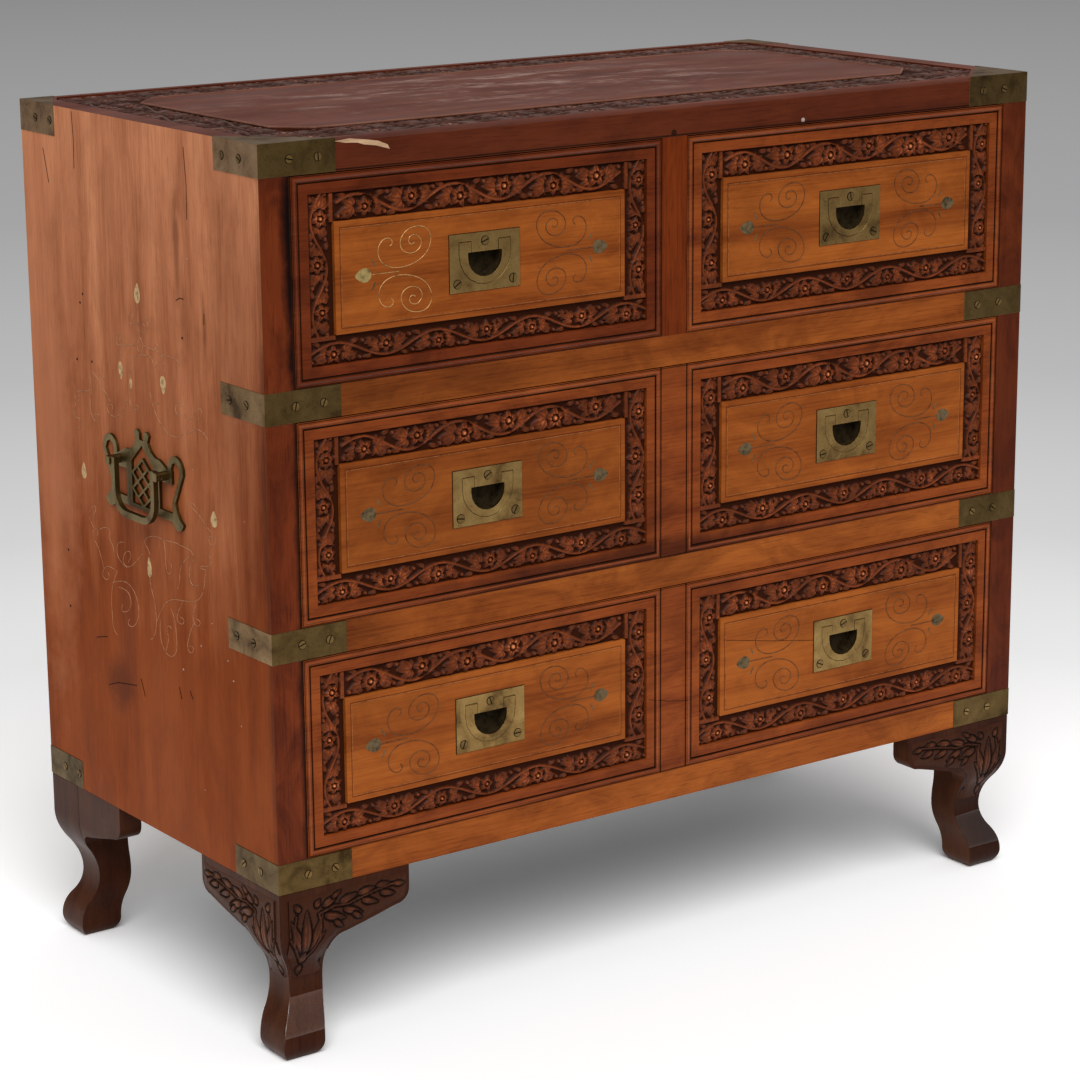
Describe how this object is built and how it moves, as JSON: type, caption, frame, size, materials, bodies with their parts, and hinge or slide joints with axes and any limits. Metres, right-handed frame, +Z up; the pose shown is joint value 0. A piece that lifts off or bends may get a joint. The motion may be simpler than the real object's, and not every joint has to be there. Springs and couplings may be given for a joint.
{
  "type": "campaign chest",
  "caption": "Brass-bound campaign chest on cabriole legs, short drawers over long drawers with flush swing pulls, carved borders and swing handles on both sides.",
  "frame": {"origin": "on the floor under the middle of the outside box", "axes": "+X to the right as seen from the front, +Y to the back, +Z up"},
  "size_m": [0.931, 0.4426, 0.8425],
  "materials": {
    "side_wood": "worn oiled teak, light orange-brown, upright grain",
    "top_wood": "dark red-brown polish, scuffed",
    "frame_wood": "dark red-brown polish",
    "rail_wood": "brown polish",
    "drawer_front_wood": "golden teak, polished, with dark carved borders",
    "inner_wood": "unpolished",
    "leg_wood": "dark brown polish",
    "strap_brass": "aged, olive brown",
    "pull_brass": "aged, brighter on the edges",
    "handle_brass": "aged, dark in the hollows",
    "screw_brass": "aged"
  },
  "bodies": {
    "case": {"top_board": "top_wood", "left_side_panel": "side_wood", "right_side_panel": "side_wood", "bottom_board": "rail_wood", "back_boards": "inner_wood", "upper_rail": "rail_wood", "lower_rail": "rail_wood", "left_front_stile": "frame_wood", "right_front_stile": "frame_wood", "center_stile": "frame_wood", "drawer_runners": "inner_wood", "drawer_guides": "inner_wood", "front_left_leg": "leg_wood", "front_right_leg": "leg_wood", "back_left_leg": "leg_wood", "back_right_leg": "leg_wood", "front_leg_ears": "leg_wood", "back_leg_ears": "leg_wood", "top_corner_brackets": "strap_brass", "rail_straps": "strap_brass", "bottom_corner_straps": "strap_brass", "strap_screws": "screw_brass", "left_handle_plate": "handle_brass", "left_handle_posts": "handle_brass", "right_handle_plate": "handle_brass", "right_handle_posts": "handle_brass"},
    "top_left_drawer_pull_bail": {"top_left_drawer_pull_bail": "pull_brass"},
    "top_left_drawer": {"top_left_drawer_front": "drawer_front_wood", "top_left_drawer_sides": "inner_wood", "top_left_drawer_back": "inner_wood", "top_left_drawer_bottom": "inner_wood", "top_left_drawer_pull_screws": "screw_brass", "top_left_drawer_pull_plate": "pull_brass"},
    "top_right_drawer_pull_bail": {"top_right_drawer_pull_bail": "pull_brass"},
    "top_right_drawer": {"top_right_drawer_front": "drawer_front_wood", "top_right_drawer_sides": "inner_wood", "top_right_drawer_back": "inner_wood", "top_right_drawer_bottom": "inner_wood", "top_right_drawer_pull_screws": "screw_brass", "top_right_drawer_pull_plate": "pull_brass"},
    "middle_drawer_left_pull_bail": {"middle_drawer_left_pull_bail": "pull_brass"},
    "middle_drawer_right_pull_bail": {"middle_drawer_right_pull_bail": "pull_brass"},
    "middle_drawer": {"middle_drawer_front": "drawer_front_wood", "middle_drawer_sides": "inner_wood", "middle_drawer_back": "inner_wood", "middle_drawer_bottom": "inner_wood", "middle_drawer_pull_screws": "screw_brass", "middle_drawer_left_pull_plate": "pull_brass", "middle_drawer_right_pull_plate": "pull_brass"},
    "bottom_drawer_left_pull_bail": {"bottom_drawer_left_pull_bail": "pull_brass"},
    "bottom_drawer_right_pull_bail": {"bottom_drawer_right_pull_bail": "pull_brass"},
    "bottom_drawer": {"bottom_drawer_front": "drawer_front_wood", "bottom_drawer_sides": "inner_wood", "bottom_drawer_back": "inner_wood", "bottom_drawer_bottom": "inner_wood", "bottom_drawer_pull_screws": "screw_brass", "bottom_drawer_left_pull_plate": "pull_brass", "bottom_drawer_right_pull_plate": "pull_brass"},
    "left_handle_bail": {"left_handle_bail": "handle_brass"},
    "right_handle_bail": {"right_handle_bail": "handle_brass"}
  },
  "joints": [
    {"name": "top_left_drawer_slide", "type": "slide", "parent": "case", "child": "top_left_drawer", "axis": [0, -1, 0], "range_m": [0, 0.3]},
    {"name": "top_left_drawer_pull_swing", "type": "hinge", "parent": "top_left_drawer", "child": "top_left_drawer_pull_bail", "pos_m": [-0.21675, -0.21925, 0.7367], "axis": [-1, 0, 0], "range_deg": [0, 90]},
    {"name": "top_right_drawer_slide", "type": "slide", "parent": "case", "child": "top_right_drawer", "axis": [0, -1, 0], "range_m": [0, 0.3]},
    {"name": "top_right_drawer_pull_swing", "type": "hinge", "parent": "top_right_drawer", "child": "top_right_drawer_pull_bail", "pos_m": [0.21675, -0.21925, 0.7367], "axis": [-1, 0, 0], "range_deg": [0, 90]},
    {"name": "middle_drawer_slide", "type": "slide", "parent": "case", "child": "middle_drawer", "axis": [0, -1, 0], "range_m": [0, 0.3]},
    {"name": "middle_drawer_left_pull_swing", "type": "hinge", "parent": "middle_drawer", "child": "middle_drawer_left_pull_bail", "pos_m": [-0.21675, -0.21925, 0.5207], "axis": [-1, 0, 0], "range_deg": [0, 90]},
    {"name": "middle_drawer_right_pull_swing", "type": "hinge", "parent": "middle_drawer", "child": "middle_drawer_right_pull_bail", "pos_m": [0.21675, -0.21925, 0.5207], "axis": [-1, 0, 0], "range_deg": [0, 90]},
    {"name": "bottom_drawer_slide", "type": "slide", "parent": "case", "child": "bottom_drawer", "axis": [0, -1, 0], "range_m": [0, 0.3]},
    {"name": "bottom_drawer_left_pull_swing", "type": "hinge", "parent": "bottom_drawer", "child": "bottom_drawer_left_pull_bail", "pos_m": [-0.21675, -0.21925, 0.3047], "axis": [-1, 0, 0], "range_deg": [0, 90]},
    {"name": "bottom_drawer_right_pull_swing", "type": "hinge", "parent": "bottom_drawer", "child": "bottom_drawer_right_pull_bail", "pos_m": [0.21675, -0.21925, 0.3047], "axis": [-1, 0, 0], "range_deg": [0, 90]},
    {"name": "left_handle_swing", "type": "hinge", "parent": "case", "child": "left_handle_bail", "pos_m": [-0.4615, 0.00025, 0.522], "axis": [0, 1, 0], "range_deg": [0, 90]},
    {"name": "right_handle_swing", "type": "hinge", "parent": "case", "child": "right_handle_bail", "pos_m": [0.4615, 0.00025, 0.522], "axis": [0, -1, 0], "range_deg": [0, 90]}
  ]
}
